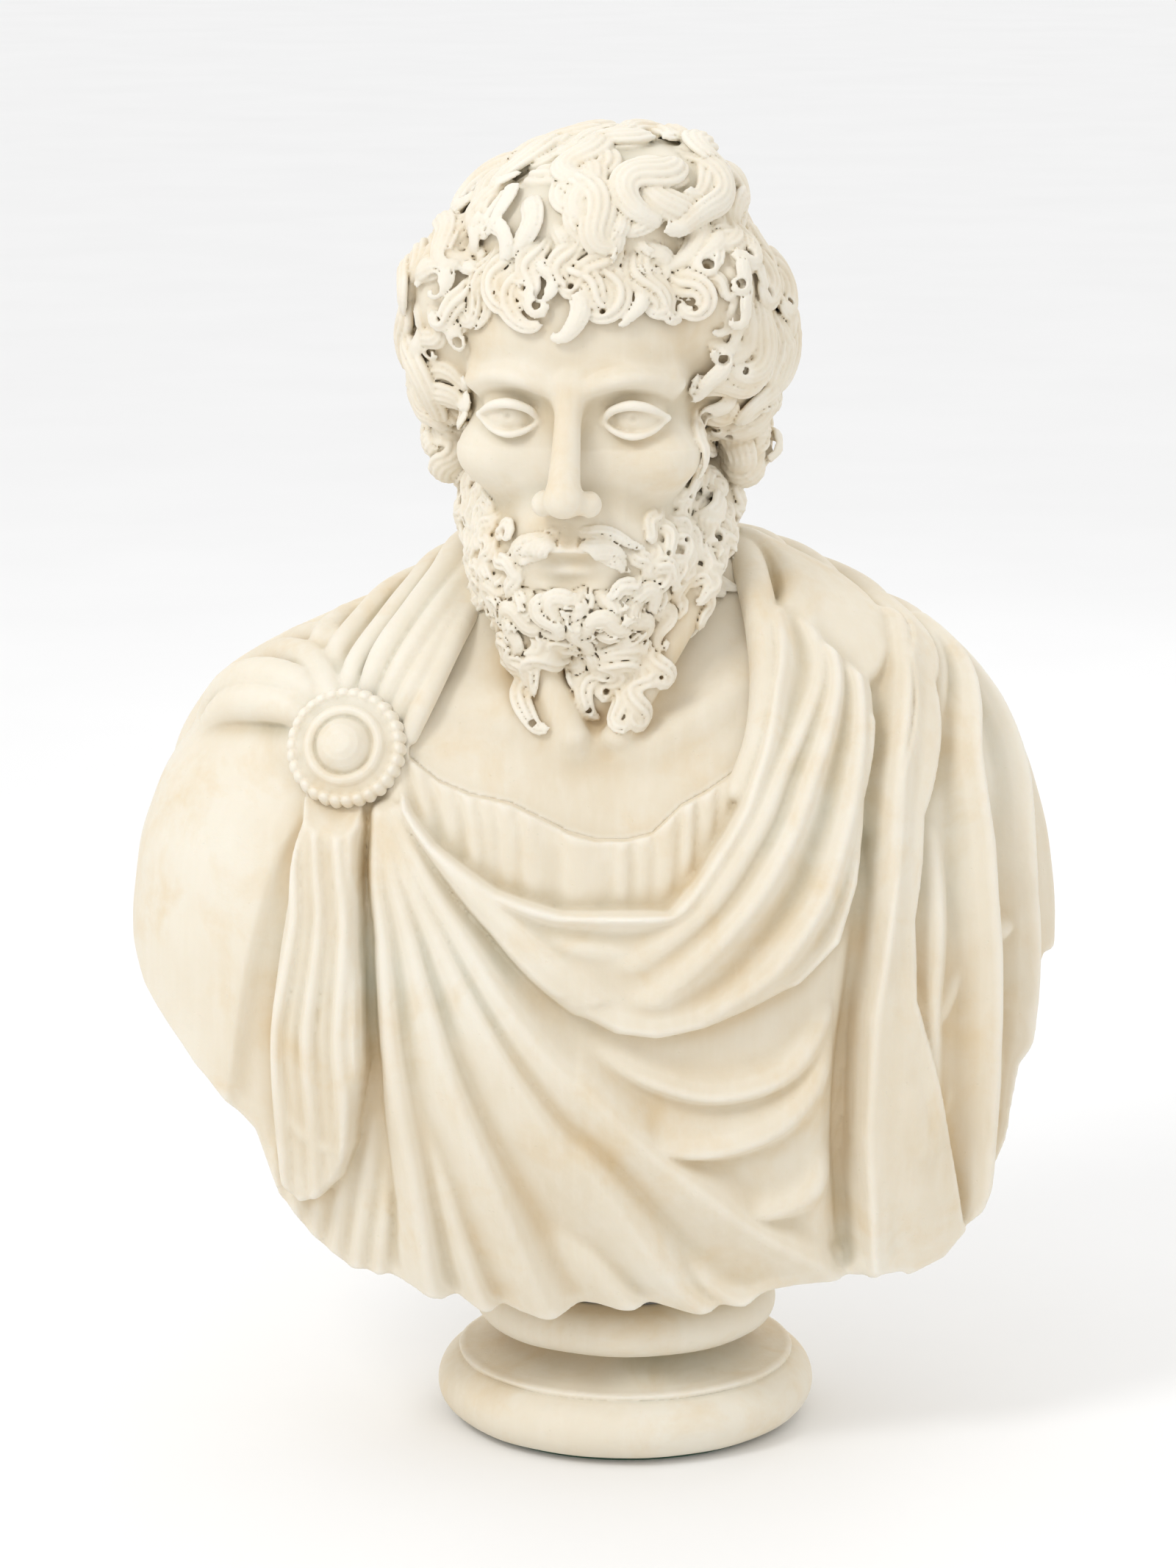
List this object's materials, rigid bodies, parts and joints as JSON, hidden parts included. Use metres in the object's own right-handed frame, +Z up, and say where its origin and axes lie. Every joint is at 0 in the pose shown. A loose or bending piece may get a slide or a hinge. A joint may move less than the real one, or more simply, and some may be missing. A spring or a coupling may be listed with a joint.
{
  "type": "marble bust",
  "caption": "Bearded portrait bust in a cloak pinned on one shoulder, with a hollowed back, standing on a round turned socle that it can be turned on.",
  "frame": {"origin": "on the underside of the felt, on the axis of the socle and of the rod that the bust turns on", "axes": "+Z up, the bust's breast faces -Y, +X is the bust's own left"},
  "size_m": [0.477, 0.2449, 0.6915],
  "materials": {
    "bust_stone": "matt carved stone, cream with ochre and grey-green in the hollows, fine pits",
    "socle_stone": "matt turned stone, cream with fine pits",
    "steel": "plain bright bar",
    "brass": "turned",
    "lead": "dull grey sheet metal",
    "resin": "set resin, stone-coloured",
    "felt": "green felt"
  },
  "bodies": {
    "socle": {"socle": "socle_stone", "rod_sleeve": "brass", "bearing_disc": "lead", "felt_pad": "felt"},
    "bust": {"torso": "bust_stone", "head": "bust_stone", "brooch": "bust_stone", "brooch_peg": "steel", "swivel_rod": "steel", "rod_grout": "resin", "rod_washer": "steel", "rod_nut": "steel", "lock_nut": "steel", "neck_dowel": "steel", "dowel_grout_torso": "resin", "dowel_grout_head": "resin", "neck_bed": "resin"}
  },
  "joints": [
    {"name": "bust_turn", "type": "hinge", "parent": "socle", "child": "bust", "pos_m": [0, 0, 0.0764], "axis": [0, 0, 1], "continuous": true}
  ]
}
